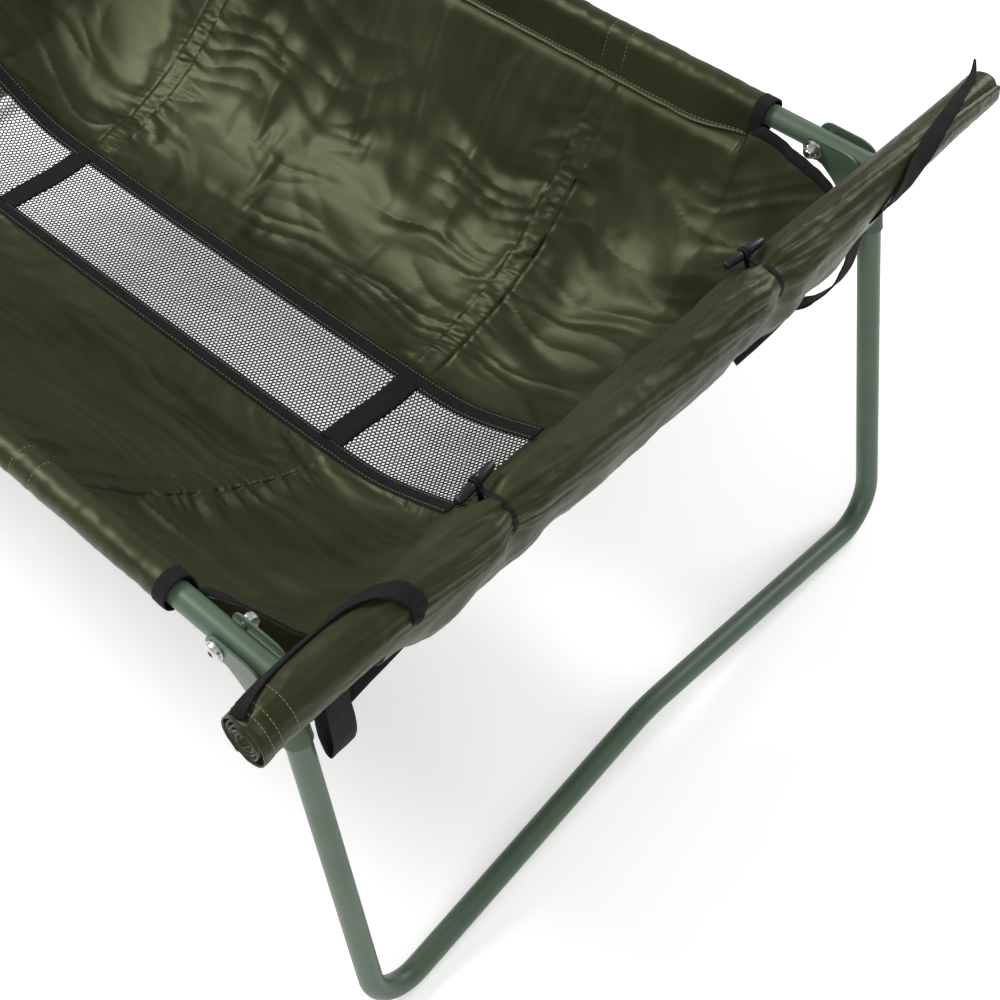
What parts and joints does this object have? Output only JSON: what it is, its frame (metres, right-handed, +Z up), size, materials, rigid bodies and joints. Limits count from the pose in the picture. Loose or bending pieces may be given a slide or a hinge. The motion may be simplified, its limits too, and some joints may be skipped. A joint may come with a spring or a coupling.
{
  "type": "folding cradle",
  "caption": "Fabric sling with a mesh drain floor between two tubular rails, on a folding, height-adjustable U-shaped leg frame at each end, with a rolled cover.",
  "frame": {"origin": "on the ground under the middle of the whole object's box", "axes": "+X along the rails towards end a, which carries the rolled cover; +Y across, from the near rail to the far rail; +Z up"},
  "size_m": [1.2808, 0.972, 0.4901],
  "materials": {
    "green_paint": "satin grey-green powder coat",
    "zinc_steel": "bright zinc-plated fasteners",
    "green_plastic": "moulded dark green nylon",
    "black_plastic": "moulded black",
    "olive_nylon": "satin coated nylon, fine plain weave",
    "black_webbing": "ribbed black tape and webbing",
    "black_net": "open hexagonal net"
  },
  "bodies": {
    "cradle": {"cover_roll": "olive_nylon", "drain_floor_mesh": "black_net", "end_hem_b": "black_webbing", "end_wall_a": "olive_nylon", "end_wall_b": "olive_nylon", "floor_border_tape_far": "black_webbing", "floor_border_tape_near": "black_webbing", "floor_strap_a": "black_webbing", "floor_strap_b": "black_webbing", "pivot_bolt_a_far": "zinc_steel", "pivot_bolt_a_near": "zinc_steel", "pivot_bolt_b_far": "zinc_steel", "pivot_bolt_b_near": "zinc_steel", "pivot_nut_a_far": "zinc_steel", "pivot_nut_a_near": "zinc_steel", "pivot_nut_b_far": "zinc_steel", "pivot_nut_b_near": "zinc_steel", "rail_cap_a_far": "black_plastic", "rail_cap_a_near": "black_plastic", "rail_cap_b_far": "black_plastic", "rail_cap_b_near": "black_plastic", "rail_far_a": "green_paint", "rail_far_b": "green_paint", "rail_near_a": "green_paint", "rail_near_b": "green_paint", "rail_sleeve_far": "olive_nylon", "rail_sleeve_near": "olive_nylon", "rail_spigot_far": "zinc_steel", "rail_spigot_near": "zinc_steel", "side_panel_far": "olive_nylon", "side_panel_near": "olive_nylon", "sleeve_cuff_a_far": "black_webbing", "sleeve_cuff_a_near": "black_webbing", "sleeve_cuff_b_far": "black_webbing", "sleeve_cuff_b_near": "black_webbing", "tie_strap_far": "black_webbing", "tie_strap_near": "black_webbing", "toggle_far": "black_plastic", "toggle_loop_far": "black_webbing", "toggle_loop_near": "black_webbing", "toggle_near": "black_plastic"},
    "leg_bracket_a": {"bracket_a_near": "green_paint", "bracket_a_far": "green_paint", "leg_socket_a_near": "green_paint", "leg_socket_a_far": "green_paint", "clamp_nut_a_near": "green_paint", "clamp_nut_a_far": "green_paint"},
    "leg_a": {"leg_frame_a": "green_paint"},
    "knob_a_near": {"clamp_knob_a_near": "green_plastic"},
    "knob_a_far": {"clamp_knob_a_far": "green_plastic"},
    "leg_bracket_b": {"bracket_b_near": "green_paint", "bracket_b_far": "green_paint", "leg_socket_b_near": "green_paint", "leg_socket_b_far": "green_paint", "clamp_nut_b_near": "green_paint", "clamp_nut_b_far": "green_paint"},
    "leg_b": {"leg_frame_b": "green_paint"},
    "knob_b_near": {"clamp_knob_b_near": "green_plastic"},
    "knob_b_far": {"clamp_knob_b_far": "green_plastic"}
  },
  "joints": [
    {"name": "leg_a_fold", "type": "hinge", "parent": "cradle", "child": "leg_bracket_a", "pos_m": [0.489, -0.043, 0.445], "axis": [0, 1, 0], "range_deg": [0, 101.6], "deforming": ["drain_floor_mesh", "floor_border_tape_near", "floor_border_tape_far", "floor_strap_a", "floor_strap_b", "side_panel_near", "side_panel_far", "end_wall_a"]},
    {"name": "leg_a_slide", "type": "slide", "parent": "leg_bracket_a", "child": "leg_a", "axis": [0.2016, 0, -0.9795], "range_m": [0, 0.022]},
    {"name": "knob_a_near_turn", "type": "hinge", "parent": "leg_bracket_a", "child": "knob_a_near", "pos_m": [0.54907, -0.423, 0.40092], "axis": [0, -1, 0], "range_deg": [0, 270]},
    {"name": "knob_a_far_turn", "type": "hinge", "parent": "leg_bracket_a", "child": "knob_a_far", "pos_m": [0.54907, 0.337, 0.40092], "axis": [0, 1, 0], "range_deg": [0, 270]},
    {"name": "leg_b_fold", "type": "hinge", "parent": "cradle", "child": "leg_bracket_b", "pos_m": [-0.489, -0.043, 0.445], "axis": [0, -1, 0], "range_deg": [0, 101.6], "deforming": ["drain_floor_mesh", "floor_border_tape_near", "floor_border_tape_far", "floor_strap_a", "floor_strap_b", "side_panel_near", "side_panel_far", "end_wall_b"]},
    {"name": "leg_b_slide", "type": "slide", "parent": "leg_bracket_b", "child": "leg_b", "axis": [-0.2016, 0, -0.9795], "range_m": [0, 0.022]},
    {"name": "knob_b_near_turn", "type": "hinge", "parent": "leg_bracket_b", "child": "knob_b_near", "pos_m": [-0.54907, -0.423, 0.40092], "axis": [0, -1, 0], "range_deg": [0, 270]},
    {"name": "knob_b_far_turn", "type": "hinge", "parent": "leg_bracket_b", "child": "knob_b_far", "pos_m": [-0.54907, 0.337, 0.40092], "axis": [0, 1, 0], "range_deg": [0, 270]}
  ],
  "couplings": [
    {"joint": "leg_b_fold", "follows": "leg_a_fold", "ratio": 1}
  ]
}
